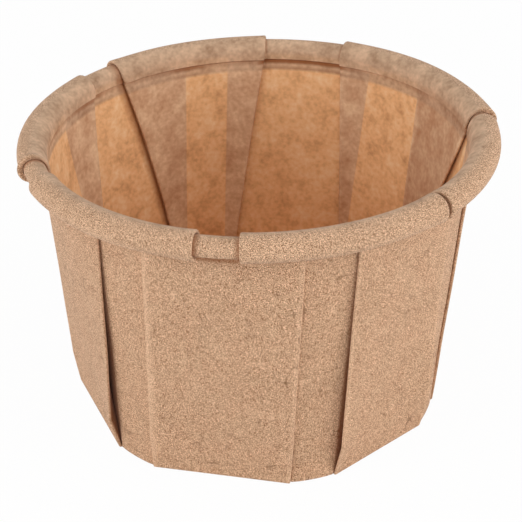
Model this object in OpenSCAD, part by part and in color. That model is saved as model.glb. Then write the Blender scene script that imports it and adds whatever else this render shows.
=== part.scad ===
// Paper portion cup, folded from one round sheet of kraft paper.
// Six narrow strips of the wall lie one fold deeper than the wide panels between them.
// Behind each panel's edges the sheet doubles back twice, so the wall is three layers thick there.
// The rim is the same folded sheet, rolled outward into a bead.
// Millimetres, +Z up, origin at the middle of the base. Directions are degrees round +Z,
// counted from the front (-Y) towards the right (+X).

/* [Paper] */
// Thickness of the paper
paper_t = 0.18; // [0.12:0.01:0.25]
// Air between layers that lie on each other
layer_gap = 0.05; // [0.03:0.01:0.08]

/* [Wall] */
// Radius of the base at its corners
base_r = 25.4; // [18:0.1:36]
// How much wider the wall is at its top than at its base
flare = 1.8; // [0.5:0.1:6]
// Height of the wall up to the middle of the rolled rim
wall_h = 36.1; // [22:0.1:55]
// Radius of the fold between floor and wall
floor_fold_r = 0.3; // [0.2:0.05:0.6]

/* [Folds] */
// Least width of a fold's doubled edge where it starts at the base
fold_start = 0.5; // [0.4:0.05:1]
// Greatest distance that a panel's edge stands off the strip beside it
edge_lift = 1.2; // [0.2:0.1:1.6]
// Greatest distance that an inner fold stands off the panel behind it
tuck_lift = 0.8; // [0.1:0.1:1.2]

/* [Rim] */
// Inner radius of the rolled rim
roll_r = 1.06; // [0.8:0.02:1.6]
// Angle that the rim is rolled through
roll_turn = 315; // [280:1:320]
// Gap between the rolled edge and the wall
roll_gap = 0.15; // [0.1:0.05:0.3]
// Tilt of the rim, higher at the front
rim_tilt = 2.9; // [0:0.1:4]
// How far the rim is pulled out of round
rim_oval = 0.5; // [0:0.1:1.5]
// How far the rim's centre lies to the right of the base's centre
rim_shift = 0.6; // [0:0.1:2]

/* [Hidden] */

// The two fold lines of each strip at the rim, in degrees
rim_folds = [[-45.2, -30.8], [10.6, 23.8], [55, 69], [122.8, 141.5], [188, 200.6], [251, 279]];
// The same fold lines where they meet the base, in degrees
base_folds = [[-48.5, -35], [6.4, 19.4], [53.5, 66], [127.5, 149.7], [192.5, 206.3], [242.5, 275]];
// How far each base corner lies inside the base radius
corner_in = [[0, 0], [0.1, 0], [0.2, 0.8], [0.2, 0], [0, 0.3], [0.2, 0]];
// How far the sheet runs on under the panels beside each strip at the rim, in degrees
tucks = [[21.8, 15.8], [15.6, 20], [10.2, 20.5], [31.3, 11.1], [11.8, 21.8], [17.7, 5.2]];
// The same at the base, as a multiple of fold_start
tuck_starts = [[1, 1], [1, 1], [1, 1], [4, 1], [3, 4], [1, 1]];
// Share of edge_lift at the panel edges beside each strip
edge_lifts = [[1, 0.35], [0.3, 1], [0.6, 0.12], [0.6, 0.4], [0.4, 0.7], [0.5, 0.3]];
// Share of tuck_lift at the inner folds beside each strip
tuck_lifts = [[0.2, 0.3], [0.2, 0.1], [0.1, 0.2], [0.5, 0.3], [0.3, 0.6], [0.2, 0.1]];
// Direction in which the rim is longest
oval_dir = 51;
// Height of each ring of the wall, as a share of the wall's height
wall_rings = [0, 0.05, 0.14, 0.32, 0.62];
// Rings in the rolled rim
roll_rings = 12;
// Widest step between two points round the wall, in degrees
step_deg = 8;
// Share of the wall's height at which the panel edges stand off the most
lift_peak = 0.14;
// Distance from a panel's edge over which it bends out, in degrees
lift_spread = 15;
// Angle in the roll after which it tightens towards its edge
tighten_from = -45;
// Distance from the middle of the floor to the points that its edge is joined to, as a share of base_r
hub_share = 0.6;

strip_count = len(rim_folds);
fold_rim = [for (pair = rim_folds) each pair];
fold_base = [for (pair = base_folds) each pair];
fold_count = len(fold_rim);
corner_r = [for (pair = corner_in) each [for (inset = pair) base_r - inset]];
rim_r = base_r + flare;
stack_t = 3 * paper_t + 2 * layer_gap;
roll_end = 180 - roll_turn;
// Size of the roll at its edge, so that the edge clears the wall
end_scale = (roll_r - roll_gap) / ((roll_r + stack_t) * max(0.6, -cos(roll_end)));
// Angle that one paper thickness takes up at the wall
edge_deg = paper_t / base_r * 180 / PI;

// Depth of each layer behind the panels' face, for the sheet's outer and inner side
outer_in = [0, paper_t];
middle_in = [2 * paper_t + layer_gap, paper_t + layer_gap];
inner_in = [2 * paper_t + 2 * layer_gap, stack_t];

function mix(from, to, share) = from + (to - from) * share;
function heading(angle) = [sin(angle), -cos(angle)];
function signed_deg(angle) = ((angle % 360) + 540) % 360 - 180;
function steps(span) = max(2, ceil(span / step_deg));

// Corner of the base at fold f, and the wall's top edge at an angle
function corner(f) = corner_r[f % fold_count] * heading(fold_base[f % fold_count]);
function rim_radius(angle) = rim_r + rim_oval * cos(2 * (angle - oval_dir));
function rim_height(angle) = wall_h + rim_r * cos(angle) * tan(rim_tilt);

// Depth of a tuck in degrees: a short start at the base, and its full depth at the rim
function tuck_deg(i, side, v) = mix(tuck_starts[i][side] * fold_start / base_r * 180 / PI, tucks[i][side], v);

// Shape of the lifts up the wall
function edge_profile(v) = v < lift_peak ? v / lift_peak : pow((1 - v) / (1 - lift_peak), 0.8);
function tuck_profile(v) = min(1, 4 * v, 3 * (1 - v));

// How far the panel before strip p stands out at an angle, from the lifts of its two edges
function fade(distance) = pow(max(0, 1 - distance / lift_spread), 2);
function panel_off(p, angle, v) =
    let (
        before = (p + strip_count - 1) % strip_count,
        from_start = signed_deg(angle - rim_folds[before][1]),
        to_end = signed_deg(rim_folds[p][0] - angle),
        share = edge_lifts[before][1] * fade(from_start) + edge_lifts[p][0] * fade(to_end)
    )
    share * edge_lift * edge_profile(v);

// Points along one stretch of the path. Each one is the fold before it, its angle, its depth behind the
// panel's face and how far it stands out. hold gives at both ends of the stretch how much it follows the
// panel (1 at the panel's edge, 0 at the inner fold), and pull the square root of how far it is pulled in.
function stretch(f, from, to, trim, count, depth, p, hold, pull, v) = [
    for (k = [0 : count])
        let (
            angle = mix(from + trim[0], to + trim[1], k / count),
            share = (angle - from) / (to - from),
            out = mix(hold[0], hold[1], share) * panel_off(p, angle, v),
            in = mix(pull[0], pull[1], share)
        )
        [f, angle, depth, out - in * in]
];

// Steps in each stretch of unit i, and where the unit starts in the path
function unit_steps(i) =
    let (
        before = (i + strip_count - 1) % strip_count,
        left = rim_folds[i][0],
        panel_span = ((left - rim_folds[before][1]) % 360 + 360) % 360
    )
    [
        steps(tucks[before][1]),
        steps(panel_span - tucks[i][0] - tucks[before][1]),
        steps(tucks[i][0]),
        steps(rim_folds[i][1] - left),
        steps(tucks[i][1])
    ];
function unit_length(i) = unit_steps(i) * [1, 1, 3, 1, 2] + 4;
function unit_start(i) = i == 0 ? 0 : unit_start(i - 1) + unit_length(i - 1);

// The sheet from the strip before strip i, across the panel, into the strip and out behind the next panel.
// side is 0 for the sheet's outer side and 1 for its inner side, and v is the height on the wall.
function unit(i, side, v) =
    let (
        before = (i + strip_count - 1) % strip_count,
        next = (i + 1) % strip_count,
        panel = (2 * i + fold_count - 1) % fold_count,
        after = 2 * i + 1,
        left = rim_folds[i][0],
        right = rim_folds[i][1],
        start = left - ((left - rim_folds[before][1]) % 360 + 360) % 360,
        n = unit_steps(i),
        cut = side * edge_deg,
        grow = (1 - side) * edge_deg,
        start_end = start + tuck_deg(before, 1, v),
        left_end = left - tuck_deg(i, 0, v),
        right_end = right + tuck_deg(i, 1, v),
        left_in = sqrt(tuck_lift * tuck_lifts[i][0] * tuck_profile(v)),
        right_in = sqrt(tuck_lift * tuck_lifts[i][1] * tuck_profile(v)),
        out = outer_in[side],
        mid = middle_in[side],
        deep = inner_in[side],
        first = stretch(panel, start, start_end, [cut, 0], n[0], out, i, [1, 1], [0, 0], v),
        free = stretch(panel, start_end, left_end, [0, 0], n[1], out, i, [1, 1], [0, 0], v),
        last = stretch(panel, left_end, left, [0, -cut], n[2], out, i, [1, 1], [0, 0], v),
        back = stretch(panel, left, left_end, [-cut, grow], n[2], mid, i, [1, 0], [0, left_in], v),
        under = stretch(panel, left_end, left, [grow, 0], n[2], deep, i, [0, 0], [left_in, 0], v),
        strip = stretch(2 * i, left, right, [0, 0], n[3], deep, i, [0, 0], [0, 0], v),
        over = stretch(after, right, right_end, [0, -grow], n[4], deep, next, [0, 0], [0, right_in], v),
        home = stretch(after, right_end, right, [-grow, cut], n[4], mid, next, [0, 1], [right_in, 0], v)
    )
    concat(first, [for (k = [1 : n[1] - 1]) free[k]], last, back, under,
        [for (k = [1 : n[3] - 1]) strip[k]], over, home);

function path(side, v) = [for (i = [0 : strip_count - 1]) each unit(i, side, v)];

// Place of a spot on the straight line up the wall from the base's edge to the rim's circle
function wall_point(spot, v, extra_in, z) =
    let (
        f = spot[0],
        span = signed_deg(fold_rim[(f + 1) % fold_count] - fold_rim[f]),
        share = signed_deg(spot[1] - fold_rim[f]) / span,
        low = mix(corner(f), corner(f + 1), share),
        high = [rim_shift, 0] + rim_radius(spot[1]) * heading(spot[1]),
        flat = mix(low, high, v),
        moved = flat * (1 + (spot[3] - spot[2] - extra_in) / norm(flat))
    )
    [moved[0], moved[1], z + v * (rim_height(spot[1]) - z)];

// Place of a spot in the rolled rim, at an angle from straight in (180) over the top
function roll_point(spot, turn) =
    let (
        tight = min(1, mix(1, end_scale, (tighten_from - turn) / (tighten_from - roll_end))),
        radius = (roll_r + spot[2]) * (turn > tighten_from ? 1 : tight),
        reach = rim_radius(spot[1]) + roll_r + radius * cos(turn),
        flat = [rim_shift, 0] + reach * heading(spot[1])
    )
    [flat[0], flat[1], rim_height(spot[1]) + radius * sin(turn)];

// One ring of a side of the sheet on the wall, and one in the roll
function wall_ring(side, v, extra_in, z) = [for (spot = path(side, v)) wall_point(spot, v, extra_in, z)];
function roll_ring(side, turn) = [for (spot = path(side, 1)) roll_point(spot, turn)];

// All rings of one side of the sheet, from the floor's edge to the rolled edge
function side_rings(side) = concat(
    [wall_ring(side, 0, floor_fold_r - side * 0.6 * paper_t, side * paper_t)],
    [for (v = wall_rings) wall_ring(side, v, 0, floor_fold_r + side * paper_t / 2)],
    [for (k = [0 : roll_rings]) roll_ring(side, mix(180, roll_end, k / roll_rings))]
);

// A point inside the floor for each panel and strip, on one side of the sheet
function hubs(z) = [
    for (k = [0 : fold_count - 1])
        let (
            span = ((fold_base[k] - fold_base[(k + fold_count - 1) % fold_count]) % 360 + 360) % 360,
            spot = hub_share * base_r * heading(fold_base[k] - span / 2)
        )
        [spot[0], spot[1], z]
];

function halves(a, b, c, d) = [[a, b, c], [a, c, d]];
function turned(face) = [for (k = [1 : len(face)]) face[len(face) - k]];

// One side of the flat floor. The edge of each panel and strip is joined to its hub, and each doubled
// edge is filled by itself. first is the number of the path's first point, and hub that of the first hub.
function floor_faces(first, hub) =
    let (
        marks = [
            for (i = [0 : strip_count - 1])
                let (
                    n = unit_steps(i),
                    free = first + unit_start(i) + n[0],
                    last = free + n[1],
                    under = last + 2 * n[2] + 2,
                    over_end = under + n[2] + n[3] + n[4]
                )
                [free, last, under, over_end]
        ]
    )
    concat([[for (k = [0 : fold_count - 1]) hub + k]], [
        for (i = [0 : strip_count - 1])
            let (
                before = (i + strip_count - 1) % strip_count,
                n = unit_steps(i),
                free = marks[i][0],
                last = marks[i][1],
                under = marks[i][2],
                over_end = marks[i][3],
                home = marks[before][3] + 1,
                panel = hub + 2 * i,
                strip = panel + 1,
                next = hub + (2 * i + 2) % fold_count,
                edge = concat([home - 1, home], [for (k = [free : last]) k], [under - 1, under])
            )
            each concat(
                [for (k = [0 : len(edge) - 2]) [edge[k], edge[k + 1], panel]],
                [for (k = [under : over_end - 1]) [k, k + 1, strip]],
                [[under, strip, panel], [over_end, next, strip]],
                [for (k = [0 : n[0] - 1]) each halves(home + k, home + k + 1, free - k - 1, free - k)],
                [for (k = [0 : n[2] - 1]) each halves(last + k, last + k + 1, under - k - 2, under - k - 1)]
            )
    ]);

module cup() {
    outside = side_rings(0);
    inside = side_rings(1);
    rings = len(outside);
    count = len(outside[0]);
    shift = rings * count;
    top = (rings - 1) * count;
    // Where the path runs back, the quads are halved the other way, so that layers lie parallel
    turns = path(0, 1);
    outside_faces = [
        for (j = [0 : rings - 2])
            for (k = [0 : count - 1])
                let (
                    a = j * count + k,
                    b = j * count + (k + 1) % count,
                    back = signed_deg(turns[(k + 1) % count][1] - turns[k][1]) < -0.001
                )
                each back ? [[a, a + count, b], [b, a + count, b + count]]
                    : [[a, a + count, b + count], [a, b + count, b]]
    ];
    inside_faces = [for (face = outside_faces) [face[0] + shift, face[2] + shift, face[1] + shift]];
    edge_faces = [
        for (k = [0 : count - 1])
            let (a = top + k, b = top + (k + 1) % count)
            each [[a, a + shift, b + shift], [a, b + shift, b]]
    ];
    under_floor = floor_faces(0, 2 * shift);
    on_floor = [for (face = floor_faces(shift, 2 * shift + fold_count)) turned(face)];
    color("#bb9676")
        polyhedron(
            points = concat(
                [for (ring = outside) each ring],
                [for (ring = inside) each ring],
                hubs(0),
                hubs(paper_t)
            ),
            faces = concat(outside_faces, inside_faces, edge_faces, under_floor, on_floor)
        );
}

cup();
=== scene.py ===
"""Paper portion cup: one round sheet of kraft paper, pressed into folds, with its rim rolled outward.

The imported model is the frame. The sheet here has the same folds and sizes as its node, with a finer
mesh, rounded folds and the finish of the paper.
"""

import math
from dataclasses import dataclass

import bpy
from mathutils import Matrix, Vector, noise


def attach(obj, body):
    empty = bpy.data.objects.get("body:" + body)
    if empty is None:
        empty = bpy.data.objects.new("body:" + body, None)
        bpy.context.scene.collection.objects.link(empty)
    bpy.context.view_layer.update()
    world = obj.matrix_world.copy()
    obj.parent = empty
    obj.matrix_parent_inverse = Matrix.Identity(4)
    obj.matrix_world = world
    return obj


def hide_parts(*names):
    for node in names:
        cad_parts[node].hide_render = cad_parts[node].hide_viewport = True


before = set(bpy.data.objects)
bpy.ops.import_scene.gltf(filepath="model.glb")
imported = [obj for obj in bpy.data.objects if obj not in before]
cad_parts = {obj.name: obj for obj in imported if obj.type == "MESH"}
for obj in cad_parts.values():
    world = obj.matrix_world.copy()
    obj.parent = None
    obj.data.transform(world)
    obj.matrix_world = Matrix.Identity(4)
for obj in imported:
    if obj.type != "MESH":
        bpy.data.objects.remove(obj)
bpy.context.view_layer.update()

bl_info = {
    "name": "Paper Portion Cup",
    "version": (1, 0, 0),
    "blender": (4, 5, 0),
    "location": "View3D > Sidebar > Paper Cup",
    "description": "Folds a round sheet of kraft paper into a small cup with a rolled rim",
    "category": "Add Mesh",
}

MM = 0.001

# Each strip's two fold lines at the rim and at the base, in degrees from the front towards the right
RIM_FOLDS = ((-45.2, -30.8), (10.6, 23.8), (55.0, 69.0), (122.8, 141.5), (188.0, 200.6), (251.0, 279.0))
BASE_FOLDS = ((-48.5, -35.0), (6.4, 19.4), (53.5, 66.0), (127.5, 149.7), (192.5, 206.3), (242.5, 275.0))
# How far each base corner lies inside the base radius, in mm
CORNER_IN = ((0.0, 0.0), (0.1, 0.0), (0.2, 0.8), (0.2, 0.0), (0.0, 0.3), (0.2, 0.0))
# How far the sheet runs on under the panels beside each strip at the rim, in degrees
TUCKS = ((21.8, 15.8), (15.6, 20.0), (10.2, 20.5), (31.3, 11.1), (11.8, 21.8), (17.7, 5.2))
# The same at the base, as a multiple of the least width
TUCK_STARTS = ((1, 1), (1, 1), (1, 1), (4, 1), (3, 4), (1, 1))
# Shares of the greatest lift at the panel edges and at the inner folds beside each strip
EDGE_LIFTS = ((1.0, 0.35), (0.3, 1.0), (0.6, 0.0), (0.6, 0.4), (0.4, 0.7), (0.5, 0.3))
TUCK_LIFTS = ((0.2, 0.3), (0.2, 0.1), (0.1, 0.2), (0.2, 0.3), (0.3, 0.3), (0.2, 0.1))
# How far each inner fold stands off the layer under it in the rolled rim, in mm
ROLL_LIFTS = ((0.05, 0.12), (0.05, 0.22), (0.2, 0.05), (0.28, 0.05), (0.05, 0.12), (0.05, 0.28))
STRIPS = len(RIM_FOLDS)
FOLD_RIM = [fold for pair in RIM_FOLDS for fold in pair]
FOLD_BASE = [fold for pair in BASE_FOLDS for fold in pair]
CORNERS = [inset for pair in CORNER_IN for inset in pair]
FOLDS = len(FOLD_RIM)

# Where the panel edges stand off most, as a share of the wall's height, how fast that ends towards
# the rim, and how far round the panels bend, in degrees
LIFT_PEAK = 0.14
LIFT_POWER = 1.3
LIFT_SPREAD = 15.0
# The direction in which the rim is widest, and where the roll begins to tighten (0 is straight out)
OVAL_DIR = 51.0
TIGHTEN_FROM = -45.0
# Fineness of the mesh: round the cup in degrees, round a fold's edge and round the roll in steps
STEP_DEG = 2.4
TIP_STEPS = 4
ROLL_STEPS = 30
# Width of the worn line beside each panel's fold, partly a painted highlight, in degrees, and how strong it is
WORN_HIGHLIGHT_DEG = ((0.7, 2.4), (0.9, 0.7), (0.9, 0.7), (0.7, 0.7), (0.7, 0.7), (0.7, 0.7))
WORN_HIGHLIGHT = ((0.4, 0.65), (1.0, 0.4), (1.0, 0.2), (0.7, 0.7), (0.7, 0.7), (0.7, 0.7))
# How dark the painted shade on the outer face of each strip is beside the panels, and how far out from them, in
# degrees
STRIP_SHADE = ((0.4, 0.5), (0.75, 0.4), (0.4, 0.0), (0.4, 0.4), (0.4, 0.4), (0.4, 0.4))
SHADE_DEG = 0.5
# How far the strips come out towards the panels at the foot of the wall, in mm, and up to which share
# of the wall's height
FOOT_BULGE = 0.4
FOOT_TO = 0.2
# How far the rim's roll hangs over the inside of the wall, in mm
ROLL_SWELL = 0.28
# How much of the rim's paler colour the top of the wall has, and where that band starts on the wall
RIM_COLOUR_SHARE = 0.8
BAND_FROM = 0.928
# Where on the wall the roll begins to hang over
LEDGE = 0.97
# How dark the painted shade in the gap beside each inner fold is on the inside of the wall, the least width
# of its dark line and how much wider the darkest one is, in degrees
SLITS = ((0.3, 0.3), (0.3, 0.3), (0.3, 0.3), (1.0, 0.1), (0.0, 1.0), (0.1, 0.3))
SLIT_DEG = (0.7, 2.4)
# How dark the painted shade on the inside of the three layers before each strip is
ZONE_SHADE = (0.0, 0.0, 0.0, 0.3, 0.0, 0.0)
# How far the pressed wall waves in and out, in mm, and how much the roll's radius varies
WAVE = 0.14
ROLL_WAVE = 0.03
# From where on the wall the outer face has painted shadow from the roll, and how dark it is
UNDER_ROLL_FROM = 0.925
UNDER_ROLL_DIM = 0.7
# How dark the painted shade on the hidden inner faces stays in the roll
ROLL_LINE = 0.7
# The share of the roll's turn that has the wall's smooth inner face, and the share over which that ends
SMOOTH_TO = 0.42
SMOOTH_FADE = 0.2
# Between these angles, at the middle of the back, the painted shadow under the roll is darkest
DEEP_SHADOW = (150, 178)
# Attributes of the sheet that its materials read, each 0 to 1: one layer (painted as lit through), worn paper with a
# painted highlight, smooth wall, painted shade on the outer face, painted shade on the inner face and pressed inner
# face
SHEET_LOOKS = ("thin", "wear_highlight", "wall", "dim", "line", "pressed")

# The camera, fitted to the photo: its place in m, how far it looks down and rolls in degrees, its lens in mm
CAMERA_PLACE = (0.37 * MM, -155.65 * MM, 121.2 * MM)
CAMERA_DOWN, CAMERA_ROLL = 33.805, -2.57
CAMERA_LENS, CAMERA_SENSOR = 97.13, 36
# Softboxes: place in m and power in W
LAMPS = {
    "left_softbox": ((-0.48, -0.2, 0.24), 1.15),
    "right_softbox": ((0.48, -0.2, 0.22), 1.3),
    "front_softbox": ((0, -0.45, 0.42), 0.4),
}
LAMP_SIZE = 0.3
LAMP_AIM = (0, 0, 0.02)
WORLD_LIGHT = 0.55
# How much of the table shows as pure white. The rest keeps a faint shadow under the cup
TABLE_WHITE = 0.96


def linear(hex_colour):
    """An sRGB hex colour as linear red, green and blue."""
    parts = [int(hex_colour[k : k + 2], 16) / 255 for k in (1, 3, 5)]
    return tuple(c / 12.92 if c <= 0.04045 else ((c + 0.055) / 1.055) ** 2.4 for c in parts)


class PaperCupShape(bpy.types.PropertyGroup):
    paper: bpy.props.FloatProperty(
        name="Paper", description="Thickness of the paper", default=0.18 * MM, unit="LENGTH"
    )
    gap: bpy.props.FloatProperty(
        name="Layer gap", description="Air between layers that lie on each other", default=0.05 * MM, unit="LENGTH"
    )
    base_radius: bpy.props.FloatProperty(
        name="Base radius", description="Radius of the base at its corners", default=25.4 * MM, unit="LENGTH"
    )
    flare: bpy.props.FloatProperty(
        name="Flare", description="How much wider the wall is at its top", default=1.8 * MM, unit="LENGTH"
    )
    wall_height: bpy.props.FloatProperty(
        name="Wall height",
        description="Height of the wall up to the middle of the rolled rim",
        default=36.1 * MM,
        unit="LENGTH",
    )
    floor_fold: bpy.props.FloatProperty(
        name="Floor fold", description="Radius of the fold between floor and wall", default=0.3 * MM, unit="LENGTH"
    )
    fold_start: bpy.props.FloatProperty(
        name="Fold start", description="Width of a doubled edge at the base", default=0.5 * MM, unit="LENGTH"
    )
    edge_lift: bpy.props.FloatProperty(
        name="Edge lift", description="How far a panel's edge stands off", default=1.2 * MM, unit="LENGTH"
    )
    tuck_lift: bpy.props.FloatProperty(
        name="Tuck lift", description="How far an inner fold stands off", default=0.8 * MM, unit="LENGTH"
    )
    roll_radius: bpy.props.FloatProperty(
        name="Roll radius", description="Inner radius of the rolled rim", default=1.06 * MM, unit="LENGTH"
    )
    roll_turn: bpy.props.FloatProperty(
        name="Roll turn",
        description="Angle that the rim is rolled through",
        default=math.radians(315),
        unit="ROTATION",
    )
    roll_gap: bpy.props.FloatProperty(
        name="Roll gap", description="Gap between the rolled edge and the wall", default=0.15 * MM, unit="LENGTH"
    )
    rim_tilt: bpy.props.FloatProperty(
        name="Rim tilt",
        description="Tilt of the rim, higher at the front",
        default=math.radians(2.9),
        unit="ROTATION",
    )
    rim_oval: bpy.props.FloatProperty(
        name="Rim oval", description="How far the rim is pulled out of round", default=0.5 * MM, unit="LENGTH"
    )
    rim_shift: bpy.props.FloatProperty(
        name="Rim shift", description="How far the rim's centre lies to the right", default=0.6 * MM, unit="LENGTH"
    )


class PaperCupFinish(bpy.types.PropertyGroup):
    kraft: bpy.props.FloatVectorProperty(
        name="Kraft", description="Main colour of the paper", default=linear("#b48e6b"), subtype="COLOR"
    )
    kraft_warm: bpy.props.FloatVectorProperty(
        name="Warm kraft", description="Redder patches of the paper", default=linear("#bd8a66"), subtype="COLOR"
    )
    kraft_dark: bpy.props.FloatVectorProperty(
        name="Dark felt", description="Darkest speckles of the paper", default=linear("#7b522f"), subtype="COLOR"
    )
    kraft_light: bpy.props.FloatVectorProperty(
        name="Light felt", description="Palest speckles of the paper", default=linear("#f4cba8"), subtype="COLOR"
    )
    kraft_tan: bpy.props.FloatVectorProperty(
        name="Dark mottle", description="Darker mottling of the inside", default=linear("#a46a3e"), subtype="COLOR"
    )
    kraft_glow: bpy.props.FloatVectorProperty(
        name="Light mottle", description="Paler mottling of the inside", default=linear("#ffe2b8"), subtype="COLOR"
    )
    kraft_hair: bpy.props.FloatVectorProperty(
        name="Hair", description="Single dark fibres", default=linear("#6b4728"), subtype="COLOR"
    )
    kraft_rim: bpy.props.FloatVectorProperty(
        name="Rim", description="Pale face of the rolled rim", default=linear("#c1a083"), subtype="COLOR"
    )
    # Painted light: the inside of one layer as if lit through from behind
    kraft_lit: bpy.props.FloatVectorProperty(
        name="Lit wall", description="Inside of one layer, lit through", default=linear("#edb985"), subtype="COLOR"
    )
    # Painted shade: the inside of three layers, which hold that light back
    kraft_shade: bpy.props.FloatVectorProperty(
        name="Shaded wall", description="Inside of three layers", default=linear("#d3aa87"), subtype="COLOR"
    )
    # Painted shade inside the folds and in the gap under the roll
    painted_fold_shade: bpy.props.FloatVectorProperty(
        name="Fold", description="Depth of a fold", default=linear("#8c4f22"), subtype="COLOR"
    )
    floor: bpy.props.FloatVectorProperty(
        name="Table", description="Colour of the surface under the cup", default=linear("#f5f5f5"), subtype="COLOR"
    )


def mix(a, b, share):
    """The value that lies a share of the way from a to b."""
    return a + (b - a) * share


def signed_deg(angle):
    """The same direction as an angle from -180 to 180 degrees."""
    return (angle + 180) % 360 - 180


def heading(angle):
    """Flat direction at an angle from the front towards the right."""
    return Vector((math.sin(math.radians(angle)), -math.cos(math.radians(angle))))


def steps(span):
    """How many parts a stretch of the wall is divided into."""
    return max(2, math.ceil(span / STEP_DEG))


@dataclass
class Spot:
    """One point of the folded path round the cup, the same from the middle of the base to the rolled edge."""

    # The fold line before it, the strip whose panel it belongs to, and its angle and depth in the wall
    fold: int
    strip: int
    angle: float
    depth: float
    # How much it follows the lifted panel edge and the pulled inner fold
    hold: float = 0.0
    pull: float = 0.0
    # For the paper's looks: a single layer, worn with a painted highlight, painted shade on its hidden outer face
    # and on its hidden inner face
    thin: float = 0.0
    wear_highlight: float = 0.0
    dim: float = 0.0
    line: float = 0.0
    # How much of its painted shade on the hidden inner face shows on the wall, and how much painted shade its inner
    # face has everywhere there
    slit: float = 0.0
    zone: float = 0.0
    # The strip whose folds it is in, and on which side of that strip
    of: int = 0
    side: int = 0
    # How far it stands out from the flat wall, in mm
    off: float = 0.0


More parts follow.
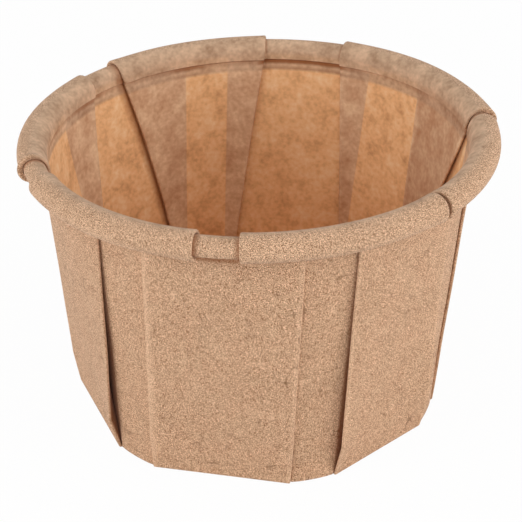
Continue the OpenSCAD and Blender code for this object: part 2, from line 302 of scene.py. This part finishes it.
class FoldedSheet:
    """The folded sheet's middle surface, in mm, as places for a path of spots at each height."""

    def __init__(self, shape):
        self.paper = shape.paper / MM
        self.pitch = (shape.paper + shape.gap) / MM
        self.base_r = shape.base_radius / MM
        self.rim_r = self.base_r + shape.flare / MM
        self.wall_h = shape.wall_height / MM
        self.floor_fold = shape.floor_fold / MM
        self.fold_start = shape.fold_start / MM
        self.edge_lift = shape.edge_lift / MM
        self.tuck_lift = shape.tuck_lift / MM
        self.roll_r = shape.roll_radius / MM
        self.roll_end = 180 - math.degrees(shape.roll_turn)
        self.tilt = math.tan(shape.rim_tilt)
        self.oval = shape.rim_oval / MM
        self.shift = Vector((shape.rim_shift / MM, 0))
        # The roll tightens towards its end, so that all three layers stay clear of the wall
        stack = 3 * self.paper + 2 * shape.gap / MM
        self.end_scale = (self.roll_r - shape.roll_gap / MM) / (
            (self.roll_r + stack) * max(0.6, -math.cos(math.radians(self.roll_end)))
        )
        self.tip_deg = math.degrees((self.paper / 2 + self.pitch / 2) / self.base_r)
        self.tip_r = self.pitch / 2

    def tuck_deg(self, strip, side, v):
        """How far the sheet runs on under the panel beside a strip, in degrees."""
        start = TUCK_STARTS[strip][side] * self.fold_start
        return mix(math.degrees(start / self.base_r), TUCKS[strip][side], v)

    def edge_profile(self, v):
        """Share of a panel edge's greatest lift at a height."""
        return v / LIFT_PEAK if v < LIFT_PEAK else ((1 - v) / (1 - LIFT_PEAK)) ** LIFT_POWER

    def tuck_profile(self, v):
        """Share of an inner fold's greatest lift at a height."""
        return min(1.0, 4 * v, 3 * (1 - v))

    def panel_off(self, strip, angle, v):
        """How far the panel before a strip stands out at an angle."""
        before = (strip - 1) % STRIPS
        near = max(0.0, 1 - signed_deg(angle - RIM_FOLDS[before][1]) / LIFT_SPREAD)
        far = max(0.0, 1 - signed_deg(RIM_FOLDS[strip][0] - angle) / LIFT_SPREAD)
        share = EDGE_LIFTS[before][1] * min(near, 1.2) ** 2 + EDGE_LIFTS[strip][0] * min(far, 1.2) ** 2
        return share * self.edge_lift * self.edge_profile(v)

    def corner(self, fold):
        """The base corner at a fold line."""
        fold %= FOLDS
        return (self.base_r - CORNERS[fold]) * heading(FOLD_BASE[fold])

    def rim_radius(self, angle):
        """Radius of the wall's top, a little out of round."""
        return self.rim_r + self.oval * math.cos(math.radians(2 * (angle - OVAL_DIR)))

    def rim_height(self, angle):
        """Height of the wall's top, which is tilted."""
        return self.wall_h + self.rim_r * math.cos(math.radians(angle)) * self.tilt

    def wave(self, angle, v):
        """The unevenness of the pressed wall, the same for all layers at one place."""
        turn = math.radians(angle)
        place = Vector((math.sin(turn) * 2.9, -math.cos(turn) * 2.9, v * 3.4 + 5))
        return WAVE * noise.noise(place) * math.sin(math.pi * v) ** 0.5

    def layer(self, depth):
        """Depth of a layer's middle surface: 0 is a panel, 1 the layer behind it and 2 a strip."""
        return self.paper / 2 + depth * self.pitch

    def run(self, fold, strip, a, b, count, depth, hold, pull, thin, worn_highlight=(0, 0), dim=(0, 0), line=(0, 0)):
        """Spots from angle a to angle b on one layer, without the last one.

        hold and pull are how much each end follows the lifted panel edge and the pulled inner fold.
        The last three are, at each end: wear with a painted highlight, and painted shade on the outer and the inner
        face.
        """
        spots = []
        for k in range(count):
            share = k / count
            spots.append(
                Spot(
                    fold=fold,
                    strip=strip,
                    angle=mix(a, b, share),
                    depth=self.layer(depth),
                    hold=mix(*hold, share),
                    pull=mix(*pull, share),
                    thin=thin,
                    wear_highlight=mix(*worn_highlight, share),
                    dim=mix(*dim, share),
                    line=mix(*line, share),
                )
            )
        return spots

    def tip(self, fold, strip, angle, turn, depth, step, hold, pull, dim, worn_highlight=0):
        """Spots round a fold's rounded edge.

        turn is 1 where the edge points to larger angles, step 1 where the sheet goes on one layer deeper.
        """
        centre = angle - turn * self.tip_deg
        reach = turn * math.degrees(self.tip_r / self.base_r)
        spots = []
        for k in range(TIP_STEPS + 1):
            share = k / TIP_STEPS
            bend = math.pi * share
            spots.append(
                Spot(
                    fold=fold,
                    strip=strip,
                    angle=centre + reach * math.sin(bend),
                    depth=self.layer(depth + step / 2) - step * self.tip_r * math.cos(bend),
                    hold=hold,
                    pull=pull,
                    # Worn paper round the fold's edge, paled partly by a painted highlight
                    wear_highlight=worn_highlight * math.sin(bend) ** 0.5 if k < TIP_STEPS else 0.0,
                    # Only the half of the bend that is turned to the inner layers is hidden, and gets painted shade
                    dim=max(0.0, 2 * mix(*dim, share) - max(dim)),
                )
            )
        return spots

    def unit(self, i, v):
        """The sheet from the strip before strip i, across the panel, into the strip and out behind the next."""
        before, after = (i - 1) % STRIPS, (i + 1) % STRIPS
        panel, beyond = (2 * i - 1) % FOLDS, 2 * i + 1
        left, right = RIM_FOLDS[i]
        start = left - (left - RIM_FOLDS[before][1]) % 360
        e = self.tip_deg
        start_end = start + self.tuck_deg(before, 1, v)
        left_end = left - self.tuck_deg(i, 0, v)
        right_end = right + self.tuck_deg(i, 1, v)
        n_start, n_left, n_right = steps(TUCKS[before][1]), steps(TUCKS[i][0]), steps(TUCKS[i][1])
        n_free = steps(left - TUCKS[i][0] - start - TUCKS[before][1])
        n_strip = steps(right - left)
        one, none, dark = (1, 1), (0, 0), (1, 1)
        # How far the worn line with its painted highlight reaches from each fold
        worn_highlight_start, worn_highlight_end = start + e + WORN_HIGHLIGHT_DEG[before][1], left - e - WORN_HIGHLIGHT_DEG[i][0]
        slits = SLITS[before][1], SLITS[i][0]
        narrow = (left_end - start_end) / 3
        start_dark, end_dark = (min(narrow, SLIT_DEG[0] + SLIT_DEG[1] * slit) for slit in slits)
        shade_left, shade_right = STRIP_SHADE[i]
        spots = []
        # The panel: over the tuck behind its first edge, across its single layer and over the next tuck
        spots += self.run(panel, i, start + e, worn_highlight_start, 2, 0, one, none, 0, worn_highlight=(WORN_HIGHLIGHT[before][1], 0))
        spots += self.run(panel, i, worn_highlight_start, start_end - e, n_start, 0, one, none, 0)
        # Painted shade on the inner face in the gaps beside the inner folds
        spots += self.run(panel, i, start_end - e, start_end, 1, 0, one, none, 0, line=(1, 1))
        beside = self.run(panel, i, start_end, start_end + start_dark, 2, 0, one, none, 1, line=(1, 0))
        for spot in beside:
            spot.slit = slits[0]
        spots += beside
        spots += self.run(panel, i, start_end + start_dark, left_end - end_dark, n_free, 0, one, none, 1)
        beside = self.run(panel, i, left_end - end_dark, left_end, 2, 0, one, none, 1, line=(0, 1))
        beside += self.run(panel, i, left_end, left_end + e, 1, 0, one, none, 1, line=(1, 1))
        for spot in beside:
            spot.slit = slits[1]
        spots += beside
        spots += self.run(panel, i, left_end + e, worn_highlight_end, n_left, 0, one, none, 0)
        spots += self.run(panel, i, worn_highlight_end, left - e, 2, 0, one, none, 0, worn_highlight=(0, WORN_HIGHLIGHT[i][0]))
        # Round the panel's edge, back behind it, round the inner fold and out again, painted dark inside the fold
        spots += self.tip(panel, i, left, 1, 0, 1, 1, 0, (0, 0.5), WORN_HIGHLIGHT[i][0])
        spots += self.run(panel, i, left - e, left_end + e, n_left, 1, (1, 0), (0, 1), 0, dim=dark)[1:]
        spots += self.tip(panel, i, left_end, -1, 1, 1, 0, 1, dark)
        # Painted shade on the inner face of the three layers before the strip
        zone = self.run(panel, i, left_end + e, left - e, n_left, 2, none, (1, 0), 0, dim=(1, 0.8))[1:]
        for spot in zone:
            spot.zone = ZONE_SHADE[i]
        spots += zone
        spots += self.run(panel, i, left - e, left, 1, 2, none, none, 0, dim=(0.8, shade_left))
        # The strip, with painted shade beside the panels
        strip = 2 * i
        inside_left, inside_right = left + SHADE_DEG, right - SHADE_DEG
        spots += self.run(strip, i, left, inside_left, 1, 2, none, none, 1, dim=(shade_left, 0))
        spots += self.run(strip, i, inside_left, inside_right, n_strip, 2, none, none, 1)
        spots += self.run(strip, i, inside_right, right, 1, 2, none, none, 1, dim=(0, shade_right))
        # In behind the next panel, round the inner fold and back to that panel's edge
        spots += self.run(beyond, after, right, right + e, 1, 2, none, none, 1, dim=(shade_right, 0.8))
        spots += self.run(beyond, after, right + e, right_end - e, n_right, 2, none, (0, 1), 0, dim=(0.8, 1))
        spots += self.tip(beyond, after, right_end, 1, 2, -1, 0, 1, dark)
        spots += self.run(beyond, after, right_end - e, right + e, n_right, 1, (0, 1), (1, 0), 0, dim=dark)[1:]
        spots += self.tip(beyond, after, right, -1, 1, -1, 1, 0, (0.5, 0), WORN_HIGHLIGHT[i][1])[:-1]
        for spot in spots:
            spot.side = 0 if spot.strip == i else 1
            spot.of = i
            spot.off = self.stand_off(spot, v)
            # The layers are pressed together towards the rim, with less of a gap between them, so less painted shade
            spot.dim *= min(1.0, 0.1 + 1.6 * (1 - v))
            # A panel that lies flat on the strip hides nothing there, so it has no painted shade
            if spot.side == 1 and shade_right == 0:
                spot.dim = 0.0
        return spots

    def stand_off(self, spot, v):
        """How far a spot stands out from the flat wall: lifted edges, pulled inner folds, the foot and the waves."""
        off = spot.hold * self.panel_off(spot.strip, spot.angle, v)
        if spot.depth > self.layer(0) + self.tip_r * 0.5:
            pulled = self.tuck_lift * TUCK_LIFTS[spot.of][spot.side] * self.tuck_profile(v)
            off -= pulled * spot.pull**2
        left, right = RIM_FOLDS[spot.of]
        if spot.fold == 2 * spot.of:
            across = (spot.angle - left) / (right - left)
            off += FOOT_BULGE * math.sin(math.pi * across) ** 0.35 * max(0.0, 1 - v / FOOT_TO)
        return off + self.wave(spot.angle, v)

    def path(self, v):
        """The whole way round the folded sheet at a height."""
        return [spot for i in range(STRIPS) for spot in self.unit(i, v)]

    def wall_place(self, spot, v, extra_in, z):
        """Place on the straight line up the wall from the base's edge to the rim's circle."""
        fold, angle = spot.fold, spot.angle
        span = signed_deg(FOLD_RIM[(fold + 1) % FOLDS] - FOLD_RIM[fold])
        share = signed_deg(angle - FOLD_RIM[fold]) / span
        low = self.corner(fold).lerp(self.corner(fold + 1), share)
        high = self.shift + self.rim_radius(angle) * heading(angle)
        flat = low.lerp(high, v)
        swell = ROLL_SWELL if v > LEDGE else 0
        flat *= 1 + (spot.off - spot.depth - extra_in - swell) / flat.length
        return Vector((flat.x, flat.y, z + v * (self.rim_height(angle) - z)))

    def roll_place(self, spot, turn):
        """Place in the rolled rim, at an angle from straight in (180) over the top."""
        radius = self.roll_r + spot.depth
        if turn < TIGHTEN_FROM:
            radius *= min(1.0, mix(1, self.end_scale, (TIGHTEN_FROM - turn) / (TIGHTEN_FROM - self.roll_end)))
        if spot.depth > self.layer(1):
            lift = ROLL_LIFTS[spot.of][spot.side]
            radius += lift * spot.pull**6 * min(1.0, max(0.0, (150 - turn) / 60))
        angle = spot.angle
        wave = noise.noise(Vector((math.cos(math.radians(angle)) * 3, math.sin(math.radians(angle)) * 3, 1.7)))
        radius *= 1 + ROLL_WAVE * wave
        reach = self.rim_radius(angle) + self.roll_r + radius * math.cos(math.radians(turn))
        over = (180 - turn) / 90
        if over < 1:
            reach -= ROLL_SWELL * (1 - over) ** 1.5
        flat = self.shift + reach * heading(angle)
        return Vector((flat.x, flat.y, self.rim_height(angle) + radius * math.sin(math.radians(turn))))

    def floor_place(self, spot, share):
        """Place in the flat floor, at a share of the way from the middle to the edge."""
        rim = self.wall_place(spot, 0, self.floor_fold, 0)
        flat = Vector((rim.x, rim.y)) * share
        return Vector((flat.x, flat.y, self.paper / 2))


def ring_plan(sheet):
    """Every ring of the sheet from the middle of the floor to the rolled edge, as a function of a spot."""
    half = sheet.paper / 2
    rings = []
    # The flat floor and the fold at its edge
    for share in (0.25, 0.5, 0.75, 0.9, 0.97):
        rings.append((0.0, "floor", lambda spot, share=share: sheet.floor_place(spot, share)))
    bend = sheet.floor_fold
    for k in range(4):
        turn = math.radians(90 * k / 3)
        inset = bend * (1 - math.sin(turn)) * 0.999
        height = half + (bend - half) * (1 - math.cos(turn))
        rings.append((0.0, "wall", lambda spot, i=inset, h=height: sheet.wall_place(spot, 0, i, h)))
    # The wall, finer at its foot and in the pale band at its top
    heights = [0.01, 0.02, 0.035, 0.055, 0.08, 0.11, 0.14, 0.18] + [0.22 + 0.04 * k for k in range(18)]
    heights += [0.918, 0.93, 0.944, 0.956, LEDGE - 0.003, LEDGE + 0.003, 0.985]
    for v in heights:
        rings.append((v, "wall", lambda spot, v=v: sheet.wall_place(spot, v, 0, bend)))
    # The rolled rim
    for k in range(ROLL_STEPS + 1):
        turn = mix(180, sheet.roll_end, k / ROLL_STEPS)
        rings.append((1.0, "roll", lambda spot, turn=turn: sheet.roll_place(spot, turn)))
    return rings


def deselect_all():
    """Leaves edit mode and selects nothing, so that the next operator acts on its own object only."""
    if bpy.context.object and bpy.context.object.mode != "OBJECT":
        bpy.ops.object.mode_set(mode="OBJECT")
    bpy.ops.object.select_all(action="DESELECT")


def flat_disc(spokes, rings):
    """A flat disc of paper with a vertex for each spoke and ring, one unit between rings."""
    deselect_all()
    bpy.ops.mesh.primitive_circle_add(vertices=spokes, radius=1, fill_type="TRIFAN")
    disc = bpy.context.object
    bpy.ops.object.mode_set(mode="EDIT")
    bpy.ops.mesh.select_all(action="SELECT")
    bpy.ops.mesh.region_to_loop()
    for ring in range(1, rings):
        bpy.ops.mesh.extrude_edges_move()
        grow = (ring + 1) / ring
        bpy.ops.transform.resize(value=(grow, grow, 1), center_override=(0, 0, 0))
    bpy.ops.object.mode_set(mode="OBJECT")
    return disc


def rim_shadow(angle, v):
    """Painted shadow inside under the rim's roll, and a painted dark line at the crease that ends its pale band."""
    turn = math.radians(angle)
    uneven = 0.35 + 0.8 * noise.noise(Vector((math.sin(turn) * 4, math.cos(turn) * 4, 9)))
    if DEEP_SHADOW[0] < angle % 360 < DEEP_SHADOW[1]:
        uneven = 1.0
    if LEDGE - 0.02 < v <= LEDGE:
        return uneven
    return 0.5 * uneven if BAND_FROM < v <= BAND_FROM + 0.005 else 0.0


def spot_looks(spot, v, kind, rolled):
    """Values for the paper's looks at a spot. kind is floor, wall or roll, rolled the share of the roll's turn."""
    looks = {
        "thin": spot.thin,
        # The top 2.5 mm of the wall is paler, with most of the rim's colour
        "wall": 1 - RIM_COLOUR_SHARE * (v > BAND_FROM),
        "pressed": min(1.0, max(0.0, (SMOOTH_TO - rolled) / SMOOTH_FADE)),
    }
    if kind == "floor":
        looks["thin"] = 1
    elif kind == "roll":
        looks["wall"] = 0
        looks["line"] = ROLL_LINE * spot.line
    else:
        looks["wear_highlight"] = spot.wear_highlight
        # Painted shadow of the roll on the outer face at the top of the wall
        looks["dim"] = max(UNDER_ROLL_DIM, spot.dim) if v > UNDER_ROLL_FROM else spot.dim
        # Painted shade on the inner face: in the gaps, on the three layers and under the roll
        looks["line"] = max(spot.slit * spot.line, spot.zone, rim_shadow(spot.angle, v))
    return looks


def make_sheet(shape):
    """Folds the flat disc into the cup and gives it its thickness."""
    sheet = FoldedSheet(shape)
    plan = ring_plan(sheet)
    paths = {}
    for v, kind, place in plan:
        paths.setdefault(v, sheet.path(v))
    spokes = len(paths[0.0])
    cup = flat_disc(spokes, len(plan))
    mesh = cup.data
    places = [[place(spot) for spot in paths[v]] for v, kind, place in plan]
    roll_from = [kind for v, kind, place in plan].index("roll")
    for name in SHEET_LOOKS:
        mesh.attributes.new(name, "FLOAT", "POINT")
    looks = {name: mesh.attributes[name].data for name in SHEET_LOOKS}
    for vertex in mesh.vertices:
        ring = round(math.hypot(vertex.co.x, vertex.co.y)) - 1
        if ring < 0:
            vertex.co = (0, 0, sheet.paper / 2 * MM)
            values = {"thin": 1, "wall": 1, "pressed": 1}
        else:
            spoke = round(math.atan2(vertex.co.y, vertex.co.x) / math.tau * spokes) % spokes
            v, kind, place = plan[ring]
            vertex.co = places[ring][spoke] * MM
            rolled = max(0, ring - roll_from) / (len(plan) - 1 - roll_from)
            values = spot_looks(paths[v][spoke], v, kind, rolled)
        for name, value in values.items():
            looks[name][vertex.index].value = value
    return cup


def add_node(tree, kind, inputs=None, output=None, **settings):
    """Adds a node with its settings and fills its inputs from sockets, colours or numbers.

    An input is given by its name or number. Returns the named output, or the first one.
    """
    node = tree.nodes.new(kind)
    for name, value in settings.items():
        setattr(node, name, value)
    for key, value in (inputs or {}).items():
        # A mix node has sockets of one name for numbers, vectors and colours, and only one is enabled
        named = [socket for socket in node.inputs if socket.name == key and socket.enabled]
        socket = named[0] if named else node.inputs[key]
        if isinstance(value, bpy.types.NodeSocket):
            tree.links.new(value, socket)
        else:
            socket.default_value = (*value, 1) if socket.type == "RGBA" else value
    return next((socket for socket in node.outputs if socket.enabled and output in (None, socket.name)), None)


def moved_aside(tree, place):
    """The same place moved by a few centimetres, so that a second noise doesn't follow the first."""
    return add_node(tree, "ShaderNodeVectorMath", {0: place, 1: (0.031, -0.047, 0.059)}, operation="ADD")


def fibre_lines(tree, place, length, width):
    """Thin curved lines, 1 on a fibre and 0 beside it: level lines of a noise. Both lengths are in mm."""
    lines = add_node(tree, "ShaderNodeTexNoise", {"Vector": place, "Scale": 1 / (length * MM), "Detail": 0.0})
    off = add_node(tree, "ShaderNodeMath", {0: lines, 1: 0.5}, operation="SUBTRACT")
    off = add_node(tree, "ShaderNodeMath", {0: off}, operation="ABSOLUTE")
    near, far = 0.25 * width / length, 0.5 * width / length
    return add_node(
        tree, "ShaderNodeMapRange", {"Value": off, "From Min": near, "From Max": far, "To Min": 1.0, "To Max": 0.0}
    )


def single_fibres(tree, place, length, width, gather):
    """Single curved fibres: the lines, broken by a second noise. Both lengths are in mm."""
    line = fibre_lines(tree, place, length, width)
    parts = add_node(
        tree, "ShaderNodeTexNoise", {"Vector": moved_aside(tree, place), "Scale": 1 / (length * 0.9 * MM)}
    )
    part = add_node(tree, "ShaderNodeMapRange", {"Value": parts, "From Min": gather, "From Max": gather + 0.06})
    return add_node(tree, "ShaderNodeMath", {0: line, 1: part}, operation="MULTIPLY")


def tone_sum(tree, parts):
    """Adds up patterns round a middle of 0.5, each given with its range and how far that range moves the tone."""
    total = None
    for source, start, end, low, high in parts:
        middle = 0.5 if total is None else 0
        spread = {"From Min": start, "From Max": end, "To Min": low + middle, "To Max": high + middle}
        part = add_node(tree, "ShaderNodeMapRange", {"Value": source, **spread}, clamp=False)
        total = part if total is None else add_node(tree, "ShaderNodeMath", {0: total, 1: part}, operation="ADD")
    return total


def tinted(tree, source, start, end, body, colour, most=1.0):
    """Blends a colour into the body where a pattern goes from start to end."""
    spread = {"From Min": start, "From Max": end, "To Min": 0.0, "To Max": most}
    share = add_node(tree, "ShaderNodeMapRange", {"Value": source, **spread})
    return add_node(tree, "ShaderNodeMix", {"Factor": share, "A": body, "B": colour}, data_type="RGBA")


def felt_tone(tree, place, moved, grain):
    """Light and dark of the rough paper: fibre ends, short fibres and the cloudy formation of the pulp."""
    # Clouds of 1 mm and 6 mm
    cloud = {"Vector": place, "Scale": 1 / (1.0 * MM), "Detail": 3.0, "Roughness": 0.6}
    patch = {"Vector": place, "Scale": 1 / (6 * MM), "Detail": 2.0, "Roughness": 0.5}
    # Between them felt of short fibres that lie in all directions, dark ones in shadow and pale ones on top,
    # about 0.03 mm thick on the real paper and drawn at 0.05 mm so that they show
    return tone_sum(
        tree,
        (
            (grain, 0.35, 0.65, -1.9, 1.9),
            (fibre_lines(tree, place, 0.7, 0.05), 0, 1, 0.03, -0.25),
            (fibre_lines(tree, moved, 0.6, 0.05), 0, 1, -0.03, 0.25),
            (add_node(tree, "ShaderNodeTexNoise", cloud), 0.25, 0.75, -0.08, 0.08),
            (add_node(tree, "ShaderNodeTexNoise", patch), 0.25, 0.75, -0.08, 0.08),
        ),
    )


def pressed_tone(tree, place, moved):
    """Light and dark of the smooth inside: soft mottling of 0.6 mm and 2.5 mm."""
    mottle = {"Vector": moved, "Scale": 1 / (0.6 * MM), "Detail": 1.0}
    smudge = {"Vector": place, "Scale": 1 / (2.5 * MM), "Detail": 1.0}
    return tone_sum(
        tree,
        (
            (add_node(tree, "ShaderNodeTexNoise", mottle), 0.25, 0.75, -0.2, 0.2),
            (add_node(tree, "ShaderNodeTexNoise", smudge), 0.25, 0.75, -0.25, 0.25),
        ),
    )


def kraft_material(name, finish, inside):
    """Unbleached kraft paper, machine finished: matt, with felted fibres that show as speckle and hairs."""
    material = bpy.data.materials.new(name)
    material.use_nodes = True
    tree = material.node_tree
    tree.nodes.clear()
    looks = {
        look: add_node(tree, "ShaderNodeAttribute", output="Fac", attribute_name=look, attribute_type="GEOMETRY")
        for look in SHEET_LOOKS
    }
    place = add_node(tree, "ShaderNodeTexCoord", output="Object")
    moved = moved_aside(tree, place)
    # Felted fibre ends, about 0.03 mm across on the real paper and drawn at 0.07 mm so that they show
    grain = add_node(tree, "ShaderNodeTexNoise", {"Vector": place, "Scale": 1 / (0.07 * MM), "Detail": 0.0})
    tone = felt_tone(tree, place, moved, grain)
    low, high, hairs = finish.kraft_dark, finish.kraft_light, 1.0
    if inside:
        # Painted light and shade: one layer lets light through from behind and is painted orange, three layers hold
        # it back and are painted duller
        mixes = (
            ("thin", finish.kraft_shade, finish.kraft_lit),
            ("wall", finish.kraft_dark, finish.kraft_tan),
            ("wall", finish.kraft_light, finish.kraft_glow),
        )
        lit, low, high = (
            add_node(tree, "ShaderNodeMix", {"Factor": looks[look], "A": a, "B": b}, data_type="RGBA")
            for look, a, b in mixes
        )
        body = add_node(
            tree, "ShaderNodeMix", {"Factor": looks["wall"], "A": finish.kraft_rim, "B": lit}, data_type="RGBA"
        )
        soft = pressed_tone(tree, place, moved)
        tone = add_node(
            tree, "ShaderNodeMix", {"Factor": looks["pressed"], "A": tone, "B": soft}, data_type="FLOAT"
        )
        hairs = 0.1
    else:
        # Redder and yellower patches of the pulp, 2.5 mm across
        patches = {"Vector": moved, "Scale": 1 / (2.5 * MM), "Detail": 2.0, "Roughness": 0.5}
        warm = add_node(tree, "ShaderNodeTexNoise", patches)
        body = tinted(tree, warm, 0.35, 0.65, finish.kraft, finish.kraft_warm)
    body = tinted(tree, tone, 0.5, -0.3, body, low)
    body = tinted(tree, tone, 0.5, 1.3, body, high)
    # Single long fibres, drawn at 0.06 and 0.07 mm for the same reason
    for mask, colour, strength in (
        (single_fibres(tree, place, 2.6, 0.07, 0.53), finish.kraft_hair, 0.5),
        (single_fibres(tree, moved_aside(tree, moved), 1.9, 0.06, 0.55), finish.kraft_hair, 0.45),
        (single_fibres(tree, moved, 2.2, 0.07, 0.54), finish.kraft_light, 0.35),
    ):
        body = tinted(tree, mask, 0.0, 1.0, body, colour, strength * hairs)
    if not inside:
        # Fibres break and fluff up along a sharp fold, which pales it unevenly; the pale line is partly a painted
        # highlight on the fold's rounded edge
        patchy = add_node(tree, "ShaderNodeMapRange", {"Value": tone, "To Min": 0.5, "To Max": 1.0})
        worn_highlight = add_node(tree, "ShaderNodeMath", {0: looks["wear_highlight"], 1: patchy}, operation="MULTIPLY")
        body = tinted(tree, worn_highlight, 0.0, 1.0, body, finish.kraft_light, 0.9)
    # Painted shade: little light reaches the layers inside a fold and the gap under the roll, so they are painted
    # darker
    body = tinted(tree, looks["line" if inside else "dim"], 0.0, 1.0, body, finish.painted_fold_shade, 0.85)
    bump = add_node(tree, "ShaderNodeBump", {"Height": grain, "Strength": 0.3, "Distance": 0.04 * MM})
    # Uncoated paper is matt, and loose fibre ends catch the light at a slant
    feel = {"Roughness": 0.88, "Specular IOR Level": 0.25, "Sheen Weight": 0.06, "Sheen Roughness": 0.5}
    paper = add_node(tree, "ShaderNodeBsdfPrincipled", {"Base Color": body, "Normal": bump, **feel})
    add_node(tree, "ShaderNodeOutputMaterial", {"Surface": paper})
    return material


class OBJECT_OT_paper_cup(bpy.types.Operator):
    """Fold the sheet of kraft paper into the cup"""

    bl_idname = "object.paper_cup"
    bl_label = "Fold Paper Cup"

    def execute(self, context):
        scene = context.scene
        cup = make_sheet(scene.paper_cup_shape)
        cup.name = "folded_sheet"
        cup.data.name = "folded_sheet"
        cup.data.materials.clear()
        cup.data.materials.append(kraft_material("kraft_paper_inner_face", scene.paper_cup_finish, True))
        cup.data.materials.append(kraft_material("kraft_paper_outer_face", scene.paper_cup_finish, False))
        solid = cup.modifiers.new("paper", "SOLIDIFY")
        solid.thickness = scene.paper_cup_shape.paper
        solid.offset = 0
        solid.material_offset = 1
        bpy.ops.object.modifier_apply(modifier=solid.name)
        bpy.ops.object.shade_smooth_by_angle(angle=math.radians(50))
        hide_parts("cup")
        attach(cup, "root")
        return {"FINISHED"}


def softbox(name, place, power):
    """A square lamp that is aimed at the cup."""
    data = bpy.data.lights.new(name, "AREA")
    data.size = LAMP_SIZE
    data.energy = power
    light = bpy.data.objects.new(name, data)
    bpy.context.scene.collection.objects.link(light)
    light.location = place
    light.rotation_euler = (Vector(LAMP_AIM) - Vector(place)).to_track_quat("-Z", "Y").to_euler()


def white_to_camera(tree, shader, share):
    """Shows pure white to camera, glossy and transmitted rays in the given share, over a shader."""
    rays = add_node(tree, "ShaderNodeLightPath").node.outputs
    seen = rays["Is Camera Ray"]
    for name in ("Is Glossy Ray", "Is Transmission Ray"):
        seen = add_node(tree, "ShaderNodeMath", {0: seen, 1: rays[name]}, operation="MAXIMUM")
    part = add_node(tree, "ShaderNodeMath", {0: seen, 1: share}, operation="MULTIPLY")
    white = add_node(tree, "ShaderNodeEmission", {"Color": (1, 1, 1), "Strength": 1.0})
    return add_node(tree, "ShaderNodeMixShader", {0: part, 1: shader, 2: white})


class OBJECT_OT_paper_cup_stage(bpy.types.Operator):
    """Add the table, the lights and the camera"""

    bl_idname = "object.paper_cup_stage"
    bl_label = "Set Up Paper Cup Stage"

    def execute(self, context):
        scene = context.scene
        deselect_all()
        bpy.ops.mesh.primitive_plane_add(size=3, location=(0, 0, -0.02 * MM))
        table = context.object
        table.name = "table_top"
        bpy.ops.object.transform_apply(location=True)
        # Matt white laminate: an even, bright ground without reflections
        material = bpy.data.materials.new("white_laminate")
        material.use_nodes = True
        tree = material.node_tree
        tree.nodes.clear()
        matt = add_node(tree, "ShaderNodeBsdfDiffuse", {"Color": scene.paper_cup_finish.floor})
        shown = white_to_camera(tree, matt, TABLE_WHITE)
        add_node(tree, "ShaderNodeOutputMaterial", {"Surface": shown})
        table.data.materials.append(material)

        world = bpy.data.worlds.new("studio")
        scene.world = world
        world.use_nodes = True
        tree = world.node_tree
        tree.nodes.clear()
        soft = add_node(tree, "ShaderNodeBackground", {"Color": (1, 1, 1), "Strength": WORLD_LIGHT})
        shown = white_to_camera(tree, soft, 1.0)
        add_node(tree, "ShaderNodeOutputWorld", {"Surface": shown})

        for name, (place, power) in LAMPS.items():
            softbox(name, place, power)

        self.add_camera(scene)
        scene.view_settings.view_transform = "Standard"
        return {"FINISHED"}

    def add_camera(self, scene):
        """The camera at the photo's place: 156 mm in front, 121 mm up, looking down by 34 degrees."""
        down, roll = math.radians(CAMERA_DOWN), math.radians(CAMERA_ROLL)
        forward = Vector((0, math.cos(down), -math.sin(down)))
        right = Vector((1, 0, 0))
        up = Vector((0, math.sin(down), math.cos(down)))
        side = right * math.cos(roll) + up * math.sin(roll)
        top = up * math.cos(roll) - right * math.sin(roll)
        turn = Matrix((side, top, -forward)).transposed()
        data = bpy.data.cameras.new("camera")
        data.lens = CAMERA_LENS
        data.sensor_width = CAMERA_SENSOR
        data.clip_start, data.clip_end = 0.01, 10
        camera = bpy.data.objects.new("camera", data)
        scene.collection.objects.link(camera)
        camera.matrix_world = Matrix.Translation(CAMERA_PLACE) @ turn.to_4x4()
        scene.camera = camera


class VIEW3D_PT_paper_cup(bpy.types.Panel):
    """The cup's sizes and colours, with a button for each step"""

    bl_label = "Paper Portion Cup"
    bl_idname = "VIEW3D_PT_paper_cup"
    bl_space_type = "VIEW_3D"
    bl_region_type = "UI"
    bl_category = "Paper Cup"

    def draw(self, context):
        layout = self.layout
        for group in (context.scene.paper_cup_shape, context.scene.paper_cup_finish):
            for name in group.__annotations__:
                layout.prop(group, name)
        layout.operator(OBJECT_OT_paper_cup.bl_idname)
        layout.operator(OBJECT_OT_paper_cup_stage.bl_idname)


CLASSES = (PaperCupShape, PaperCupFinish, OBJECT_OT_paper_cup, OBJECT_OT_paper_cup_stage, VIEW3D_PT_paper_cup)


def register():
    """Registers the classes and puts the cup's sizes and colours on the scene."""
    for cls in CLASSES:
        bpy.utils.register_class(cls)
    bpy.types.Scene.paper_cup_shape = bpy.props.PointerProperty(type=PaperCupShape)
    bpy.types.Scene.paper_cup_finish = bpy.props.PointerProperty(type=PaperCupFinish)


def unregister():
    """Takes away what register added."""
    del bpy.types.Scene.paper_cup_finish
    del bpy.types.Scene.paper_cup_shape
    for cls in reversed(CLASSES):
        bpy.utils.unregister_class(cls)


def main():
    register()
    bpy.ops.object.paper_cup()
    bpy.ops.object.paper_cup_stage()


if __name__ == "__main__":
    main()
